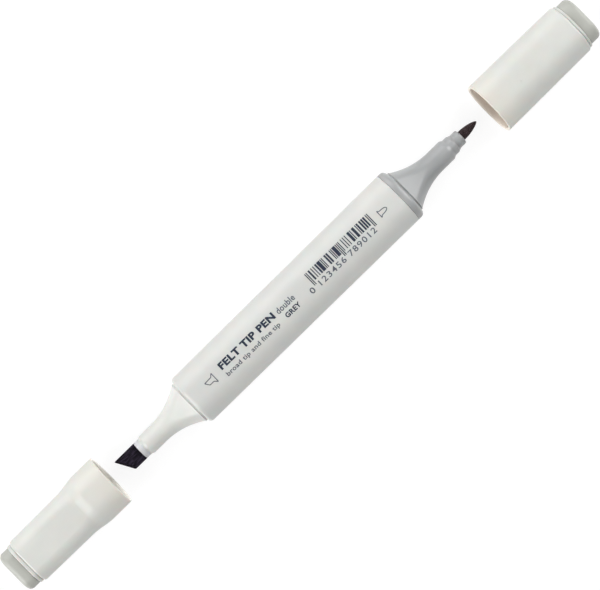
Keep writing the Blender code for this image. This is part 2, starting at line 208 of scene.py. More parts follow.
def moulded_plastic(name, dark_hex, light_hex, roughness, grain, **shader_values):
    """Satin moulded plastic.

    Its colour drifts over some 9 mm, as the melt cooled. Its skin has the mould's spark-eroded
    grain of 0.05 mm, drawn 0.18 mm across so that it shows, and long rubs from handling make
    it a little glossier in streaks along the marker.
    """
    material = start_material(name, IOR=1.52, **shader_values)
    point = add_node(material, "ShaderNodeTexCoord").outputs["Object"]
    drift_in = {"Vector": point, "Scale": per_mm(9), "Detail": 3.0}
    drift = add_node(material, "ShaderNodeTexNoise", drift_in).outputs["Fac"]
    stops = ((0.36, dark_hex), (0.64, light_hex))
    colour = add_node(material, "ShaderNodeValToRGB", {"Fac": drift}, stops).outputs["Color"]
    gloss_in = {"Value": streaks(material, 0.12, 1.1, Detail=4.0, Roughness=0.6)}
    gloss_in.update({"From Min": 0.3, "From Max": 0.7})
    gloss_in.update({"To Min": roughness - 0.06, "To Max": roughness + 0.06})
    gloss = add_node(material, "ShaderNodeMapRange", gloss_in).outputs["Result"]
    grain_in = {"Vector": point, "Scale": per_mm(0.18), "Detail": 2.0}
    grains = add_node(material, "ShaderNodeTexNoise", grain_in).outputs["Fac"]
    relief_in = {"Height": grains, "Strength": grain, "Distance": 0.02 * MM}
    relief = add_node(material, "ShaderNodeBump", relief_in).outputs["Normal"]
    link_shader(material, Base_Color=colour, Roughness=gloss, Normal=relief)
    return material


# Satin-moulded ABS, dyed a warm off-white: light spreads a little way under the skin, which
# softens its shaded side.
ABS_GLOW = {"Subsurface_Weight": 0.15, "Subsurface_Scale": 0.8 * MM}
off_white_abs = moulded_plastic("off_white_abs", "CACBC8", "CFCFCB", 0.36, 0.25, **ABS_GLOW)


def barrel_half_width(x):
    """Half the barrel's width at x, in a straight line from the broad end's to the fine end's."""
    share = (x - barrel_low[0]) / (barrel_high[0] - barrel_low[0])
    return BROAD_HALF_WIDTH + (FINE_HALF_WIDTH - BROAD_HALF_WIDTH) * share


seam, seam_in = fillet(SEAM_LENGTH, SEAM_INSET, 4)
shoulder, shoulder_in = fillet(SHOULDER_LENGTH, SHOULDER_INSET)
seam_x = barrel_high[0] - SEAM_LENGTH + seam[::-1]
barrel_x = np.concatenate([seam_x, barrel_low[0] + SHOULDER_LENGTH - shoulder])
barrel_in = np.concatenate([seam_in[::-1], shoulder_in])
barrel_y = barrel_half_width(barrel_x) - barrel_in
outside = sections(barrel_x, barrel_y, BARREL_HALF_HEIGHT - barrel_in, BARREL_FLAT, BARREL_FLAT)
bore_x = np.array([barrel_low[0], barrel_high[0]])
bore = sections(bore_x, BORE_HALF_WIDTH, BORE_HALF_HEIGHT, BARREL_FLAT, BARREL_FLAT)
barrel_mesh = skin("barrel_tube", [np.concatenate([outside, bore])], ring=True)
add_piece("barrel_tube", barrel_mesh, off_white_abs, "pen", "off_white_plastic", "barrel")

# ---- Noses --------------------------------------------------------------------------------
# Each nose is an ABS moulding whose skirt is pressed into the barrel. It flares down from the
# barrel's section to a round neck, and a flat panel on each face tapers to a point where the
# neck begins. The broad nose is off-white; the fine nose is grey and has a flange.

FIT_GAP = 0.05
SKIRT_START = 33.0
SKIRT_GAP = 0.1
NOSE_WALL = 1.0
GROOVE_HALF_WIDTH = 6.67
GROOVE_HALF_HEIGHT = 5.4
FOOT_ROUND = 0.15
FOOT_INSET = 0.05
FLARE_LENGTH = 12.0
FLARE_HALF_WIDTH = 6.72
FLARE_HALF_HEIGHT = 5.45
FLARE_FLAT_Y = 3.4
FLARE_FLAT_Z = 1.2
FLARE_POWER = 2.15
FLARE_SHARES = np.linspace(0.021, 1, 60)
HOLLOW_SHARES = np.array([0.45, 0.25, 0.1])
PANEL_END = 0.6
PANEL_POWER = 1.2
NECK_BORE_START = 49.0


def flare(share, neck_radius, wall=0.0):
    """Half width, half height and half flats of a nose, at shares of the flare's length.

    Its size falls to the neck's radius as (1 - share) to a power. The flats taper to nothing
    at PANEL_END, so each face has a pointed panel with slightly hollow sides.
    """
    drop = (1 - share) ** FLARE_POWER
    half_y = neck_radius + (FLARE_HALF_WIDTH - neck_radius) * drop - wall
    half_z = neck_radius + (FLARE_HALF_HEIGHT - neck_radius) * drop - wall
    panel = np.maximum(0, 1 - share / PANEL_END) ** PANEL_POWER
    return half_y, half_z, FLARE_FLAT_Y * panel, FLARE_FLAT_Z * panel


def nose_rows(end, base_x, base_y, base_z, flare_start, neck_radius, tip_x, tip_radius, bore):
    """A nose's rows: skirt, base, groove, flare and neck, then back down its inside.

    end is -1 for the broad end and 1 for the fine one. The base's sizes and the neck's outer
    profile, as x and radius, are each nose's own.
    """
    skirt_y = BORE_HALF_WIDTH - SKIRT_GAP
    skirt_z = BORE_HALF_HEIGHT - SKIRT_GAP
    skirt = sections(end * SKIRT_START, skirt_y, skirt_z, BARREL_FLAT, BARREL_FLAT)
    base = sections(end * base_x, base_y, base_z, BARREL_FLAT, BARREL_FLAT)
    flats = (FLARE_FLAT_Y, FLARE_FLAT_Z)
    groove_x = end * np.array([base_x[-1], flare_start])
    groove = sections(groove_x, GROOVE_HALF_WIDTH, GROOVE_HALF_HEIGHT, *flats)
    foot, foot_in = fillet(FOOT_ROUND, FOOT_INSET, 4)
    foot_x = end * (flare_start + FOOT_ROUND - foot[::-1])
    foot_y, foot_z = FLARE_HALF_WIDTH - foot_in[::-1], FLARE_HALF_HEIGHT - foot_in[::-1]
    foot_rows = sections(foot_x, foot_y, foot_z, *flats)
    flared_x = end * (flare_start + FLARE_LENGTH * FLARE_SHARES)
    flared = sections(flared_x, *flare(FLARE_SHARES, neck_radius))
    tip = sections(end * tip_x, tip_radius, tip_radius)
    inner = sections(end * np.array([tip_x[-1], NECK_BORE_START]), bore, bore)
    hollow_x = end * (flare_start + FLARE_LENGTH * HOLLOW_SHARES)
    hollow = sections(hollow_x, *flare(HOLLOW_SHARES, neck_radius, NOSE_WALL))
    inside_y, inside_z = skirt_y - NOSE_WALL, skirt_z - NOSE_WALL
    inside = sections(end * SKIRT_START, inside_y, inside_z, BARREL_FLAT, BARREL_FLAT)
    return np.concatenate([skirt, base, groove, foot_rows, flared, tip, inner, hollow, inside])


# The broad nose uses a slightly lighter copy of the barrel's plastic, a painted highlight: the
# extra lightness stands in for the light its flare panels catch from the end lamps.
abs_painted_lighter = moulded_plastic("off_white_abs_painted_lighter", "D1D2CE", "D5D6D1", 0.36, 0.25, **ABS_GLOW)

BROAD_FLARE_START = 40.5
BROAD_NECK_RADIUS = 3.08
BROAD_NECK_BORE = 2.5
RIM_START = 1.2
RIM_LENGTH = 0.9
RIM_INSET = 0.34
broad_neck_end = -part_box("broad_nose")[0][0] / MM
rim, rim_in = ease(RIM_LENGTH, RIM_INSET)
rim_x = np.append(broad_neck_end - RIM_START + rim, broad_neck_end)
broad_nose_rows = nose_rows(
    -1, np.array([-barrel_low[0] + FIT_GAP]), BORE_HALF_WIDTH - SKIRT_GAP,
    BORE_HALF_HEIGHT - SKIRT_GAP, BROAD_FLARE_START, BROAD_NECK_RADIUS,
    rim_x, BROAD_NECK_RADIUS - np.append(rim_in, RIM_INSET), BROAD_NECK_BORE
)
broad_nose_mesh = skin("broad_end_nose", [broad_nose_rows], ring=True)
add_piece("broad_end_nose", broad_nose_mesh, abs_painted_lighter, "pen", "off_white_plastic", "broad_nose")

# The fine nose is moulded in a cool grey ABS, with less light under its skin.
grey_abs = moulded_plastic("grey_abs", "9F9F9F", "A5A5A5", 0.34, 0.22, Subsurface_Weight=0.05)

FINE_FLARE_START = 40.85
FINE_NECK_RADIUS = 3.18
FINE_NECK_END = 58.2
FINE_NECK_BORE = 2.35
FLANGE_LENGTH = 0.95
FLANGE_BACK_INSET = 1.2
FLANGE_ROUND = 1.3
FLANGE_ROUND_INSET = 1.15
CREST_ROUND = 0.12
CREST_INSET = 0.1
FALL_START = 1.5
FALL_LENGTH = 1.3
STEP_RADIUS = 2.7
LEAD_START = 0.75
LEAD_LENGTH = 0.6
LEAD_INSET = 0.28
flange = barrel_high[0] + FIT_GAP
crest, crest_in = fillet(CREST_ROUND, CREST_INSET, 4)
slope, slope_in = fillet(FLANGE_ROUND, FLANGE_ROUND_INSET, 10)
crest_x = flange + CREST_ROUND - crest[::-1]
flange_x = np.concatenate([[flange], crest_x, flange + FLANGE_LENGTH + slope])
flange_in = np.concatenate([[FLANGE_BACK_INSET], crest_in[::-1], slope_in])
fall, fall_in = ease(FALL_LENGTH, FINE_NECK_RADIUS - STEP_RADIUS)
lead, lead_in = ease(LEAD_LENGTH, LEAD_INSET)
step_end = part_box("fine_nose")[1][0] / MM
step_x = np.append(step_end - LEAD_START + lead, step_end)
step_radius = STEP_RADIUS - np.append(lead_in, LEAD_INSET)
fine_nose_rows = nose_rows(
    1, flange_x, FINE_HALF_WIDTH - flange_in, BARREL_HALF_HEIGHT - flange_in,
    FINE_FLARE_START, FINE_NECK_RADIUS, np.append(FINE_NECK_END - FALL_START + fall, step_x),
    np.append(FINE_NECK_RADIUS - fall_in, step_radius), FINE_NECK_BORE
)
fine_nose_mesh = skin("fine_end_nose", [fine_nose_rows], ring=True)
add_piece("fine_end_nose", fine_nose_mesh, grey_abs, "pen", "grey_plastic", "fine_nose")

# ---- Tip sleeves --------------------------------------------------------------------------
# A tube in each neck grips the tip. The broad one is natural polypropylene, milky and slightly
# blue, with a collar against the neck's rim; the fine one is the nose's grey.


def turned(x, radius):
    """Rows of a round piece from its profile: x and radius, as two lists of the same length."""
    return sections(x, radius, radius)


# Natural polypropylene is milky: light goes well into it, so it looks lit from inside.
milky_pp = moulded_plastic(
    "natural_polypropylene", "CDCDCF", "D5D5D8", 0.3, 0.1,
    Subsurface_Weight=0.3, Subsurface_Scale=0.8 * MM, Subsurface_Radius=(1.0, 0.9, 0.8)
)

SLEEVE_BORE = 2.08
SLEEVE_RADIUS = 2.4
COLLAR_ROUND = 0.18
COLLAR_ROUND_INSET = 0.15
sleeve_low, sleeve_high = np.array(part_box("broad_tip_sleeve")) / MM
collar_front = sleeve_low[0]
collar_back = -broad_neck_end - FIT_GAP
collar_radius = sleeve_high[1]
collar_round, collar_in = fillet(COLLAR_ROUND, COLLAR_ROUND_INSET, 5)
collar_x = np.concatenate([
    [sleeve_high[0], sleeve_high[0], collar_back, collar_back],
    collar_front + COLLAR_ROUND - collar_round, [collar_front],
])
collar_r = np.concatenate([
    [SLEEVE_BORE, SLEEVE_RADIUS, SLEEVE_RADIUS, collar_radius],
    collar_radius - collar_in, [SLEEVE_BORE],
])
collar_mesh = skin("broad_tip_collar", [turned(collar_x, collar_r)], ring=True)
add_piece("broad_tip_collar", collar_mesh, milky_pp, "pen", "milky_plastic", "broad_tip_sleeve")

TUBE_BORE = 1.55
TUBE_ROUND = 0.55
TUBE_ROUND_INSET = 0.35
tube_low, tube_high = np.array(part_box("fine_tip_sleeve")) / MM
tube_radius = tube_high[1]
tube_round, tube_in = fillet(TUBE_ROUND, TUBE_ROUND_INSET)
tube_front = tube_high[0] - TUBE_ROUND + tube_round
tube_x = np.concatenate([[tube_low[0], tube_low[0]], tube_front, [tube_high[0]]])
tube_r = np.concatenate([[TUBE_BORE, tube_radius], tube_radius - tube_in, [TUBE_BORE]])
tube_mesh = skin("fine_tip_tube", [turned(tube_x, tube_r)], ring=True)
add_piece("fine_tip_tube", tube_mesh, grey_abs, "pen", "grey_plastic", "fine_tip_sleeve")

# ---- Tips ---------------------------------------------------------------------------------
# Both tips are bundles of polyester fibre, set with resin and ground to shape. They are soaked
# with dark ink, so they look nearly black, the chisel with a purple cast and the bullet with a
# brown one. Their fibres run along X and leave fine ridges.

FIBRE_RIDGE = 0.012
FIBRE_SWELL = 0.35
RIDGE_FADE_RADIUS = 0.3


def fibre_ridges(rows, seed):
    """Pushes rows of points in towards the axis, by an amount that keeps along each fibre.

    Each column has its own height, smoothed with its neighbours, and it swells slowly along X.
    The push fades out within RIDGE_FADE_RADIUS of the axis.
    """
    draws = np.random.default_rng(seed)
    count, around = rows.shape[:2]
    height = draws.standard_normal(around)
    height = (height + np.roll(height, 1)) / math.sqrt(2)
    swell = draws.standard_normal((count, around)) * FIBRE_SWELL
    ridged = rows.copy()
    across = rows[..., 1:] - np.array([0, AXIS])
    radius = np.linalg.norm(across, axis=-1, keepdims=True)
    push = FIBRE_RIDGE * (height[None] + swell)[..., None]
    outward = across / np.maximum(radius, RIDGE_FADE_RADIUS)
    ridged[..., 1:] -= outward * np.clip(push + FIBRE_RIDGE, 0, None)
    return ridged


def streaked_material(name, stretch, size, detail, stops, strength, depth, **shader_values):
    """A material whose colours and relief run in streaks along X, size mm across."""
    material = start_material(name, **shader_values)
    lines = streaks(material, stretch, size, Detail=detail)
    colour = add_node(material, "ShaderNodeValToRGB", {"Fac": lines}, stops).outputs["Color"]
    relief_in = {"Height": lines, "Strength": strength, "Distance": depth * MM}
    relief = add_node(material, "ShaderNodeBump", relief_in).outputs["Normal"]
    link_shader(material, Base_Color=colour, Normal=relief)
    return material


def ink_soaked_felt(name, dark_hex, light_hex):
    """Polyester felt soaked with ink: matt, nearly black, with a faint sheen along its edges.

    Real fibres are about 0.02 mm thick; they are drawn 0.12 mm thick so that they show.
    """
    stops = ((0.44, dark_hex), (0.62, light_hex))
    return streaked_material(
        name, 0.08, 0.12, 3.0, stops, 0.6, 0.03,
        Roughness=0.7, IOR=1.45, Specular_IOR_Level=0.12, Sheen_Weight=0.06, Sheen_Roughness=0.4
    )


# The chisel is a flat shank, a head with rounded corners, and a bevel down to a slanted edge.
CHISEL_HALF_WIDTH = 2.7
CHISEL_HALF_HEIGHT = 1.5
CHISEL_HEEL_X = -63.25
CHISEL_CORNER = 0.35
SHANK_HALF_WIDTH = 1.68
SHANK_HALF_HEIGHT = 1.1
HEAD_BACK_INSET = 0.12
BEVEL_LENGTH = 0.8
BEVEL_INSET = 0.03
EDGE_HALF_HEIGHT = 0.72
EDGE_ROUND = 0.22
HEAD_ROWS = 14
BEVEL_ROWS = 8
EDGE_STEPS = 6
chisel_low, chisel_high = np.array(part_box("broad_tip")) / MM
head_x = collar_front - FIT_GAP
middle_x = (chisel_low[0] + CHISEL_HEEL_X) / 2
slant = (chisel_low[0] - CHISEL_HEEL_X) / (2 * CHISEL_HALF_WIDTH)
head_share = np.linspace(0, 1, HEAD_ROWS)
bevel_share = np.linspace(0.1, 1, BEVEL_ROWS)
edge, edge_in = fillet(EDGE_ROUND, EDGE_ROUND, EDGE_STEPS)
chisel_x = np.concatenate([
    [chisel_high[0], head_x, head_x], head_x + (middle_x + BEVEL_LENGTH - head_x) * head_share,
    middle_x + BEVEL_LENGTH * (1 - bevel_share) + EDGE_ROUND, middle_x + EDGE_ROUND - edge,
])
chisel_y = np.concatenate([
    [SHANK_HALF_WIDTH, SHANK_HALF_WIDTH, CHISEL_HALF_WIDTH - HEAD_BACK_INSET],
    np.full(HEAD_ROWS, CHISEL_HALF_WIDTH), CHISEL_HALF_WIDTH - BEVEL_INSET * bevel_share,
    CHISEL_HALF_WIDTH - BEVEL_INSET - edge_in,
])
chisel_z = np.concatenate([
    [SHANK_HALF_HEIGHT, SHANK_HALF_HEIGHT, CHISEL_HALF_HEIGHT - HEAD_BACK_INSET],
    np.full(HEAD_ROWS, CHISEL_HALF_HEIGHT),
    CHISEL_HALF_HEIGHT + (EDGE_HALF_HEIGHT - CHISEL_HALF_HEIGHT) * bevel_share,
    EDGE_HALF_HEIGHT - edge_in,
])
lean = slant * np.concatenate([[0, 0, 0], head_share, np.ones(BEVEL_ROWS + EDGE_STEPS + 1)])
corner = np.minimum(CHISEL_CORNER, chisel_z * 0.5)
chisel_rows = sections(chisel_x, chisel_y, chisel_z, chisel_y - corner, chisel_z - corner, lean)
chisel_mesh = skin("chisel_tip", [fibre_ridges(chisel_rows, 3)], sharp=50)
chisel_felt = ink_soaked_felt("purple_black_felt", "0A080F", "362E3E")
add_piece("chisel_tip", chisel_mesh, chisel_felt, "pen", "inked_felt", "broad_tip")

# The bullet's radius grows from its point as a sine to a power, and its rows lie closer
# together near the point.
BULLET_START = 62.5
BULLET_POWER = 0.6
BULLET_ROWS = 40
ROW_SPREAD = 1.6
bullet_low, bullet_high = np.array(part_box("fine_tip")) / MM
bullet_radius = bullet_high[1]
from_point = np.linspace(0, 1, BULLET_ROWS)[1:] ** ROW_SPREAD
ground = bullet_radius * np.sin(math.pi / 2 * from_point) ** BULLET_POWER
ground_x = bullet_high[0] - (bullet_high[0] - BULLET_START) * from_point
bullet_rows = turned(np.append(ground_x, bullet_low[0]), np.append(ground, bullet_radius))
bullet_mesh = skin("bullet_tip", [fibre_ridges(bullet_rows, 5)], sharp=50)
bullet_felt = ink_soaked_felt("brown_black_felt", "241B1B", "54474A")
add_piece("bullet_tip", bullet_mesh, bullet_felt, "pen", "inked_felt", "fine_tip")

# ---- Ink reservoir ------------------------------------------------------------------------
# The reservoir is a rod of crimped polyester fibre, soaked with ink and wrapped in a clear
# polypropylene film. It lies inside the barrel and isn't seen, so its CAD shapes stay.


def finish_node(node, material):
    """Gives a CAD node that stays in view its material."""
    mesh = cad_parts[node].data
    mesh.materials.clear()
    mesh.materials.append(material)


# Crimped fibre, matt and dark with ink. Its strands are drawn 0.3 mm thick so that they show.
crimped_fibre = streaked_material(
    "ink_soaked_fibre", 0.1, 0.3, 4.0, ((0.35, "2A262D"), (0.65, "4E474F")), 0.7, 0.08,
    Roughness=0.8, IOR=1.45
)
finish_node("ink_reservoir", crimped_fibre)

# Clear film: thin, glossy and faintly wrinkled along the rod.
clear_film = streaked_material(
    "clear_film", 0.15, 1.5, 2.0, ((0.3, "E6E8EA"), (0.7, "F2F3F4")), 0.4, 0.05,
    Roughness=0.12, IOR=1.49, Transmission_Weight=0.85
)
finish_node("reservoir_film", clear_film)

# ---- Caps ---------------------------------------------------------------------------------
# Each cap is an off-white polypropylene tube with a rounded mouth and a stepped lip at its
# far end. A natural cup inside seals on the neck, and a grey plug closes the end and shows
# the ink's colour. The broad cap steps down all round behind its mouth and turns squarer.

BROAD_MOUTH_HALF_WIDTH = 7.97
BROAD_STEP = 0.62
BROAD_DRAFT = 0.011
FACE_STEP = 0.9
SIDE_STEP_START = 6.6
SIDE_STEP_END = 13.2
FACE_STEP_START = 7.8
FACE_STEP_END = 11.0
SQUARE_START = 8.5
SQUARE_END = 14.0
SQUARE_FLAT_Y = 1.6
SQUARE_FLAT_Z = 0.4
FINE_MOUTH_HALF_WIDTH = 8.06
FINE_DRAFT = 0.0072


def smooth(value, low, high):
    """0 below low and 1 above high, with the cubic 3t^2 - 2t^3 between."""
    share = np.clip((value - low) / (high - low), 0, 1)
    return share * share * (3 - 2 * share)


def broad_cap_size(depth):
    """Half width, half height and half flats of the broad cap by depth from its mouth.

    It comes in steeply on its two faces and gently at its sides, and then turns squarer, each
    by a smooth step between two depths. Its draft takes off BROAD_DRAFT more for each mm.
    """
    side = smooth(depth, SIDE_STEP_START, SIDE_STEP_END)
    face = smooth(depth, FACE_STEP_START, FACE_STEP_END)
    square = smooth(depth, SQUARE_START, SQUARE_END)
    step = BROAD_STEP + BROAD_DRAFT * depth
    half_y = BROAD_MOUTH_HALF_WIDTH - step * side
    half_z = BARREL_HALF_HEIGHT - FACE_STEP * step * face
    flat_y = BARREL_FLAT + SQUARE_FLAT_Y * square
    flat_z = BARREL_FLAT + SQUARE_FLAT_Z * square
    return half_y, half_z, flat_y, flat_z


def fine_cap_size(depth):
    """The same sizes for the fine cap, which is straight but for its moulding draft."""
    draft = FINE_DRAFT * depth
    flat = BARREL_FLAT + 0 * depth
    return FINE_MOUTH_HALF_WIDTH - draft, BARREL_HALF_HEIGHT - draft, flat, flat


def cap_rows(end, mouth, size, depth, inset):
    """Sections of a cap at depths from its mouth, each brought in by an inset all round."""
    depth = np.asarray(depth, float)
    half_y, half_z, flat_y, flat_z = size(depth)
    return sections(mouth + end * depth, half_y - inset, half_z - inset, flat_y, flat_z)


def depth_fade(material, mouth, end, length, value_at_mouth, value_inside):
    """A value that fades from a cap's mouth to a depth inside it, by X in the object's space."""
    point = add_node(material, "ShaderNodeTexCoord").outputs["Object"]
    x = add_node(material, "ShaderNodeSeparateXYZ", {"Vector": point}).outputs["X"]
    fade_in = {"Value": x, "From Min": mouth * MM, "From Max": (mouth + end * length) * MM}
    fade_in.update({"To Min": value_at_mouth, "To Max": value_inside})
    return add_node(material, "ShaderNodeMapRange", fade_in).outputs["Result"]


def cap_plastic(name, mouth, end):
    """Off-white polypropylene with a soft low gloss, a little warmer for 9 mm of its mouth: that
    warmth is painted warm bounce light.

    In a colour mix, inputs 0, 6 and 7 are its factor and its colours, and output 2 its result.
    """
    material = moulded_plastic(
        name, "CDCEC9", "D2D3CE", 0.38, 0.25, Subsurface_Weight=0.2, Subsurface_Scale=1.0 * MM
    )
    base = material.node_tree.nodes["Principled BSDF"].inputs["Base Color"]
    # Painted light: near the mouth the colour is mixed toward a warmer tone, standing in for warm
    # bounce light.
    warm_bounce_share = depth_fade(material, mouth, end, 9.0, 0.8, 0.0)
    warm_bounce_in = {0: warm_bounce_share, 6: base.links[0].from_socket, 7: linear("D6D3CA")}
    warm_bounce_colour = add_node(material, "ShaderNodeMix", warm_bounce_in, data_type="RGBA").outputs[2]
    link_shader(material, Base_Color=warm_bounce_colour)
    return material


def cap_lining_painted_shade(name, mouth, end, lit_mouth_hex, shaded_deep_hex):
    """The same plastic inside the cap in a warm tint, with painted light and shade: lighter at the
    mouth, where light comes in, and darker deeper in.
    """
    material = start_material(name, Roughness=0.5, IOR=1.5)
    shade_share = depth_fade(material, mouth, end, 3.0, 0.0, 1.0)
    stops = ((0.0, lit_mouth_hex), (1.0, shaded_deep_hex))
    shaded_lining_colour = add_node(material, "ShaderNodeValToRGB", {"Fac": shade_share}, stops).outputs["Color"]
    link_shader(material, Base_Color=shaded_lining_colour)
    return material


CAP_WALL = 0.92
MOUTH_ROUND = 0.3
MOUTH_LEAD = 0.7
MOUTH_LEAD_INSET = 0.35
STEP_MARGIN = 0.5
END_ROUND = 0.6
END_INSET = 0.34
GROOVE_LENGTH = 0.16
GROOVE_INSET = 0.56
LIP_INSET = 0.42
LIP_ROUND = 0.12
LIP_ROUND_INSET = 0.1
RIB_START = 27.6
RIB_END = 28.7
RIB_HEIGHT = 0.75


def make_shell(name, end, mouth, length, lip_length, size, lining_shade_hexes, body, node):
    """The cap's outer tube: mouth, body, rounded end and stepped lip, then back inside."""
    lip = length - lip_length
    groove = lip + GROOVE_LENGTH
    mouth_round, mouth_in = fillet(MOUTH_ROUND, MOUTH_ROUND)
    end_round, end_in = fillet(END_ROUND, END_INSET, 8)
    lip_round, lip_in = fillet(LIP_ROUND, LIP_ROUND_INSET, 3)
    lead, lead_in = fillet(MOUTH_LEAD, MOUTH_LEAD_INSET)
    step = np.linspace(SIDE_STEP_START - STEP_MARGIN, SQUARE_END + STEP_MARGIN, 60)
    outer = np.concatenate([
        MOUTH_ROUND - mouth_round[::-1], step, lip - END_ROUND + end_round, [lip, groove, groove],
        groove + LIP_ROUND - lip_round[::-1], length - LIP_ROUND + lip_round,
    ])
    outer_in = np.concatenate([
        mouth_in[::-1], 0 * step, end_in, [GROOVE_INSET, GROOVE_INSET, LIP_INSET + LIP_ROUND_INSET],
        LIP_INSET + lip_in[::-1], LIP_INSET + lip_in,
    ])
    rib = [length, RIB_END, RIB_END, RIB_START, RIB_START]
    rib_in = CAP_WALL + RIB_HEIGHT * np.array([0, 0, 1, 1, 0])
    depth = np.concatenate([outer, rib, step[::-1], MOUTH_LEAD - lead])
    inset = np.concatenate([outer_in, rib_in, 0 * step + CAP_WALL, CAP_WALL - lead_in])
    rows = cap_rows(end, mouth, size, depth, inset)
    mesh = skin(name, [rows], ring=True, lining=len(outer))
    plastic = cap_plastic(body + "_polypropylene", mouth, end)
    add_piece(name, mesh, plastic, body, "off_white_plastic", node)
    # The lining's colours are painted light and shade inside the cap.
    mesh.materials.append(cap_lining_painted_shade(body + "_lining_painted_shade", mouth, end, *lining_shade_hexes))


CUP_WALL = 0.6
CUP_OPENING = 11.8
CUP_LIP = 0.05
CUP_BEVEL = 0.5
CUP_BEVEL_INSET = 0.3
CUP_FLOOR = 28.45
CUP_FLANGE_START = 28.8
CUP_FLANGE_END = 29.5
CUP_GAP = 0.1


def make_liner(name, end, mouth, size, bore, body, node):
    """The cap's inner cup: an open round bore with a bevelled mouth, and a flange at its back."""
    flange_radius = float(size(np.array(CUP_FLANGE_END))[1]) - CAP_WALL - CUP_GAP
    bevel, bevel_in = fillet(CUP_BEVEL, CUP_BEVEL_INSET, 5)
    depth = np.concatenate([
        [CUP_FLOOR, CUP_OPENING + CUP_BEVEL], CUP_OPENING + CUP_BEVEL - bevel,
        [CUP_OPENING + CUP_LIP, CUP_FLANGE_START, CUP_FLANGE_START, CUP_FLANGE_END],
    ])
    radius = np.concatenate([
        [bore, bore], bore + bevel_in,
        [bore + CUP_WALL, bore + CUP_WALL, flange_radius, flange_radius],
    ])
    mesh = skin(name, [turned(mouth + end * depth, radius)])
    add_piece(name, mesh, milky_pp, body, "liner_plastic", node)


# Grey polypropylene for the plugs, warmer and lighter than the fine nose.
plug_grey_pp = moulded_plastic("plug_grey_polypropylene", "ABACA5", "B2B3AC", 0.42, 0.22)

PLUG_ROUND = 1.5
PLUG_FLAT_Z = 2.4
PLUG_FOOT_ROUND = 0.12
PLUG_FOOT_INSET = 0.1
PLUG_FRONT = 29.65
PLUG_SKIRT_WALL = 0.9
PLUG_FLOOR = 1.2


def make_plug(name, end, mouth, length, size, half_y, half_z, flat_y, head, body, node):
    """The colour plug: a rounded head outside the lip, and a hollow skirt inside the shell."""
    start = length + FIT_GAP
    head_round, head_in = fillet(PLUG_ROUND, PLUG_ROUND, 12)
    foot, foot_in = fillet(PLUG_FOOT_ROUND, PLUG_FOOT_INSET, 3)
    head_depth = start + head - PLUG_ROUND + head_round[::-1]
    depth = np.concatenate([head_depth, start + PLUG_FOOT_ROUND - foot])
    inset = np.concatenate([head_in[::-1], foot_in])
    head_rows = sections(mouth + end * depth, half_y - inset, half_z - inset, flat_y, PLUG_FLAT_Z)
    skirt = [start, PLUG_FRONT, PLUG_FRONT, length - PLUG_FLOOR]
    skirt_in = np.array([0, 0, 1, 1]) * PLUG_SKIRT_WALL + CAP_WALL + CUP_GAP
    skirt_rows = cap_rows(end, mouth, size, skirt, skirt_in)
    mesh = skin(name, [np.concatenate([head_rows, skirt_rows])])
    add_piece(name, mesh, plug_grey_pp, body, "plug_grey_plastic", node)


# For each cap: its end, sizes, lip's length and cup's bore, its plug's half width, half height,
# half flat and head length, and its lining's colours at the mouth and deeper in, which are painted
# light and shade.
caps = [
    ("broad", -1, broad_cap_size, 1.15, 3.25, (6.3, 5.45, 3.3, 3.6), ("F7F4ED", "F5F1E8")),
    ("fine", 1, fine_cap_size, 0.9, 3.35, (6.95, 6.1, 2.0, 3.75), ("E8DFD3", "D8C8B9")),
]
for cap, end, size, lip_length, cup_bore, plug, lining_shade_hexes in caps:
    body = cap + "_cap"
    shell = body + "_shell"
    shell_low, shell_high = np.array(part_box(shell)) / MM
    mouth = shell_high[0] if end < 0 else shell_low[0]
    length = shell_high[0] - shell_low[0]
    make_shell(body + "_tube", end, mouth, length, lip_length, size, lining_shade_hexes, body, shell)
    make_liner(body + "_cup", end, mouth, size, cup_bore, body, body + "_liner")
    make_plug(body + "_button", end, mouth, length, size, *plug, body, body + "_plug")

# The fine cap's gate, where its plastic went into the mould, has left a low domed mark.
GATE_X = 83.3
GATE_Y = -0.75
GATE_RADIUS = 0.35
GATE_HEIGHT = 0.07
dome = np.linspace(0, math.pi / 2, 7)[1:, None]
around_gate = np.linspace(0, 2 * math.pi, 24, endpoint=False)[None]
gate_top = AXIS + float(fine_cap_size(np.array(GATE_X - mouth))[1])
gate_radius = GATE_RADIUS * np.append(np.sin(dome), [[1.0]], axis=0)
gate_height = GATE_HEIGHT * np.append(np.cos(dome), [[-1.0]], axis=0)
gate_rows = np.stack([
    GATE_X + gate_radius * np.cos(around_gate), GATE_Y + gate_radius * np.sin(around_gate),
    gate_top + gate_height + 0 * around_gate,
], axis=-1)
gate_mesh = skin("fine_cap_gate_mark", [gate_rows])
gate_plastic = bpy.data.materials["fine_cap_polypropylene"]
add_piece("fine_cap_gate_mark", gate_mesh, gate_plastic, "fine_cap", "off_white_plastic")

# ---- Print --------------------------------------------------------------------------------
# Pad-printed ink on the barrel's upper face: a bold line, small words, a plain bar pattern
# with digits, and an outline of the tip at each end. The wording and the bars are generic.
# Each mark is a film of ink that follows the barrel's curve.

INK_THICKNESS = 0.012
INK_LIFT = 0.004
STRIP = 0.25


def on_barrel(points):
    """Lays flat points in mm on the barrel's upper face: z becomes a height above it.

    The face is level for BARREL_FLAT each side of its middle, then falls as a quarter ellipse.
    """
    x, y, height = points[..., 0], points[..., 1], points[..., 2]
    out = np.clip((np.abs(y) - BARREL_FLAT) / (barrel_half_width(x) - BARREL_FLAT), 0, 1)
    top = AXIS + BARREL_FLAT + (BARREL_HALF_HEIGHT - BARREL_FLAT) * np.sqrt(1 - out * out)
    return np.stack([x, y, top + INK_LIFT + height], axis=-1)


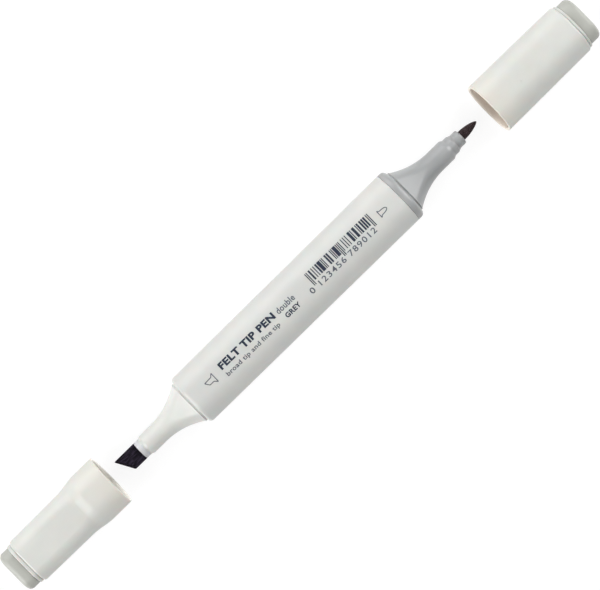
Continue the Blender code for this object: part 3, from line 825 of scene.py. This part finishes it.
def stroke(start, end, width):
    """One straight line of ink: a thin strip from start to end, in steps of about STRIP."""
    start, end = np.array(start, float), np.array(end, float)
    length = np.linalg.norm(end - start)
    share = np.linspace(0, 1, max(2, int(length / STRIP) + 2))[:, None]
    middle = start + (end - start) * share
    side = np.array([start[1] - end[1], end[0] - start[0]]) / length * width / 2
    corners = [(-1, 0), (1, 0), (1, INK_THICKNESS), (-1, INK_THICKNESS)]
    rows = [np.insert(middle + across * side, 2, up, axis=1) for across, up in corners]
    return on_barrel(np.stack(rows, axis=1))


def printed_ink(name, dark_hex, light_hex):
    """Solvent ink from a silicone pad: thin, satin, and a little uneven over 0.3 mm."""
    material = start_material(name, Roughness=0.45, IOR=1.5)
    point = add_node(material, "ShaderNodeTexCoord").outputs["Object"]
    patchy_in = {"Vector": point, "Scale": per_mm(0.3)}
    patchy = add_node(material, "ShaderNodeTexNoise", patchy_in).outputs["Fac"]
    stops = ((0.35, dark_hex), (0.65, light_hex))
    colour = add_node(material, "ShaderNodeValToRGB", {"Fac": patchy}, stops).outputs["Color"]
    link_shader(material, Base_Color=colour)
    return material


navy_ink = printed_ink("navy_pad_ink", "1C2334", "2A3347")
grey_ink = printed_ink("grey_pad_ink", "4A4E59", "5A5E69")


def vertex_points(mesh):
    """A mesh's vertices as an array of points."""
    points = np.empty(len(mesh.vertices) * 3)
    mesh.vertices.foreach_get("co", points)
    return points.reshape(-1, 3)


def printed_words(name, words, left, right, bottom, top, weight, material, spacing=1.06):
    """Words as a film of ink that fills a box on the barrel.

    They are flat type, cut in narrow strips along X so that it bends, then laid on the curve.
    weight thickens the type's strokes, and spacing sets its letters apart.
    """
    curve = bpy.data.curves.new(name, "FONT")
    curve.body = words
    curve.offset = weight
    curve.space_character = spacing
    curve.extrude = 0.5
    curve.resolution_u = 3
    typed = bpy.data.objects.new(name, curve)
    bpy.context.scene.collection.objects.link(typed)
    graph = bpy.context.evaluated_depsgraph_get()
    mesh = bpy.data.meshes.new_from_object(typed.evaluated_get(graph))
    bpy.data.objects.remove(typed)
    points = vertex_points(mesh)
    low, high = points.min(axis=0), points.max(axis=0)
    points = (points - low) / (high - low)
    points = points * [right - left, top - bottom, INK_THICKNESS] + [left, bottom, 0]
    mesh.vertices.foreach_set("co", points.ravel())
    shape = bmesh.new()
    shape.from_mesh(mesh)
    bmesh.ops.remove_doubles(shape, verts=shape.verts, dist=1e-5)
    for y in np.arange(bottom + STRIP, top, STRIP):
        everything = [*shape.verts, *shape.edges, *shape.faces]
        bmesh.ops.bisect_plane(shape, geom=everything, plane_co=(0, y, 0), plane_no=(0, 1, 0))
    bmesh.ops.recalc_face_normals(shape, faces=shape.faces)
    shape.to_mesh(mesh)
    shape.free()
    points = on_barrel(vertex_points(mesh)) * MM
    mesh.vertices.foreach_set("co", points.ravel())
    mesh.materials.clear()
    add_piece(name, mesh, material, "pen", "inked_felt")


printed_words("bold_words", "FELT TIP PEN", -28.06, -7.95, 0.0, 2.08, 0.044, navy_ink)
printed_words("thin_word", "double", -6.9, -0.7, 0.0, 1.79, 0.018, grey_ink)
printed_words("small_words", "broad tip and fine tip", -27.95, -8.5, -2.75, -1.04, 0.02, grey_ink)
printed_words("bold_colour_word", "GREY", -5.9, -0.7, -2.37, -0.9, 0.036, navy_ink)

# The bar pattern has 95 modules: longer guard bars at its ends and middle, and four runs of
# bar and space for each digit between them. It spells the count 0 to 9 and 0 to 2.
BARS_LEFT = 5.34
BARS_RIGHT = 28.67
BARS_TOP = 2.96
BARS_BOTTOM = -0.16
GUARD_BOTTOM = -1.17
MODULES = 95
INK_SPREAD = 0.03
RUNS = "3211 2221 2122 1411 1132 1231 1114 1312 1213 3112".split()
module = (BARS_RIGHT - BARS_LEFT) / MODULES


def bar(first, count, bottom):
    """One bar: its first module, how many modules wide it is, and where it ends."""
    x = BARS_LEFT + (first + count / 2) * module
    return stroke((x, bottom), (x, BARS_TOP), count * module + INK_SPREAD)


bars = [bar(first, 1, GUARD_BOTTOM) for first in (0, 2, 46, 48, 92, 94)]
for next_module, digits, inked_run in ((3, "123456", 1), (50, "789012", 0)):
    for digit in digits:
        for number, run in enumerate(RUNS[int(digit)]):
            if number % 2 == inked_run:
                bars.append(bar(next_module, int(run), BARS_BOTTOM))
            next_module += int(run)
bars_mesh = skin("bar_pattern", bars)
add_piece("bar_pattern", bars_mesh, navy_ink, "pen", "inked_felt")

DIGIT_BOTTOM = -2.5
DIGIT_TOP = -0.78
printed_words("first_digit", "0", 3.31, 4.72, DIGIT_BOTTOM, DIGIT_TOP, 0.016, grey_ink)
printed_words("left_digits", "123456", 6.7, 16.3, DIGIT_BOTTOM, DIGIT_TOP, 0.012, grey_ink, 1.2)
printed_words("right_digits", "789012", 17.75, 27.6, DIGIT_BOTTOM, DIGIT_TOP, 0.012, grey_ink, 1.2)

# Outlines of the two tips on their necks, by their corners.
OUTLINE_WIDTH = 0.24
broad_outline = [
    (-33.95, 0.72), (-31.6, 0.8), (-30.82, 1.56), (-30.82, -1.38),
    (-31.65, -0.53), (-33.1, -0.53), (-33.95, 0.72)
]
fine_outline = [
    (31.0, 1.45), (31.4, 1.0), (32.6, 0.94), (33.35, 0.76), (33.72, 0.34),
    (33.35, -0.07), (32.6, -0.25), (31.4, -0.32), (31.0, -0.76), (31.0, 1.45)
]
marks = []
for outline in (broad_outline, fine_outline):
    marks += [stroke(here, there, OUTLINE_WIDTH) for here, there in zip(outline, outline[1:])]
marks_mesh = skin("tip_outlines", marks)
add_piece("tip_outlines", marks_mesh, grey_ink, "pen", "inked_felt")

# ---- Camera -------------------------------------------------------------------------------
# Looks straight down at the marker from nearly 0.6 m, turned so that the marker runs from
# the lower left to the upper right. Its lengths are in metres.

CAMERA_HEIGHT = 0.594
CAMERA_FOOT_X = -0.02025
LOOK_AT = Vector((0.00103, -0.00016, AXIS * MM))
TURN = math.radians(44.45)
WIDTH_SEEN = 0.162

spot = Vector((CAMERA_FOOT_X, LOOK_AT.y, LOOK_AT.z + CAMERA_HEIGHT))
backward = (spot - LOOK_AT).normalized()
along_marker = (Vector((1, 0, 0)) - backward * backward.x).normalized()
across_marker = backward.cross(along_marker)
rightward = along_marker * math.cos(TURN) - across_marker * math.sin(TURN)
upward = along_marker * math.sin(TURN) + across_marker * math.cos(TURN)
facing = Matrix((rightward, upward, backward)).transposed().to_4x4()
camera_data = bpy.data.cameras.new("camera")
camera = bpy.data.objects.new("camera", camera_data)
bpy.context.scene.collection.objects.link(camera)
camera.matrix_world = Matrix.Translation(spot) @ facing
camera_data.lens = camera_data.sensor_width * (spot - LOOK_AT).length / WIDTH_SEEN
camera_data.clip_start = 0.01
bpy.context.scene.camera = camera

# ---- Floor and light ----------------------------------------------------------------------
# The floor is an opal acrylic sheet, faintly mottled and lit evenly from below, so that it
# looks nearly white and takes almost no shadow. Two large panels stand on the +Y side, and a
# low and a high one at each end. Lengths here are in metres.

FLOOR_HALF_SIDE = 3.0
PANEL_DISTANCE = 1.2

opal_sheet = start_material(
    "lit_opal_sheet", Roughness=0.9, Emission_Strength=0.86, Emission_Color=linear("FFFFFF")
)
floor_point = add_node(opal_sheet, "ShaderNodeTexCoord").outputs["Object"]
mottle_in = {"Vector": floor_point, "Scale": per_mm(40)}
mottle = add_node(opal_sheet, "ShaderNodeTexNoise", mottle_in).outputs["Fac"]
opal_stops = ((0.3, "6D6D6D"), (0.7, "727272"))
opal = add_node(opal_sheet, "ShaderNodeValToRGB", {"Fac": mottle}, opal_stops).outputs["Color"]
link_shader(opal_sheet, Base_Color=opal)
floor_mesh = bpy.data.meshes.new("floor")
floor_corners = FLOOR_HALF_SIDE * np.array([(-1, -1, 0), (1, -1, 0), (1, 1, 0), (-1, 1, 0)])
floor_mesh.from_pydata(floor_corners.tolist(), [], [(0, 1, 2, 3)])
floor_mesh.materials.append(opal_sheet)
floor = bpy.data.objects.new("floor", floor_mesh)
bpy.context.scene.collection.objects.link(floor)


def add_panel(name, direction, size, power):
    """A square light panel at PANEL_DISTANCE in a direction, facing the marker."""
    data = bpy.data.lights.new(name, "AREA")
    data.size = size
    data.energy = power
    panel = bpy.data.objects.new(name, data)
    bpy.context.scene.collection.objects.link(panel)
    away = Vector(direction).normalized()
    panel.location = away * PANEL_DISTANCE
    panel.rotation_euler = away.to_track_quat("Z", "Y").to_euler()


add_panel("side_panel", (0.0, 0.8, 0.6), 0.9, 5.5)
add_panel("low_side_panel", (0.0, 0.9, 0.35), 0.9, 2.4)
add_panel("low_broad_end_panel", (-0.88, 0.0, 0.4), 0.6, 9.4)
add_panel("high_broad_end_panel", (-0.6, 0.0, 0.8), 0.6, 3.9)
add_panel("low_fine_end_panel", (0.88, 0.0, 0.4), 0.6, 8.0)
add_panel("high_fine_end_panel", (0.6, 0.0, 0.8), 0.6, 4.4)

world = bpy.data.worlds.new("surround")
world.use_nodes = True
world.node_tree.nodes["Background"].inputs["Strength"].default_value = 0.02
bpy.context.scene.world = world
bpy.context.scene.view_settings.view_transform = "Standard"
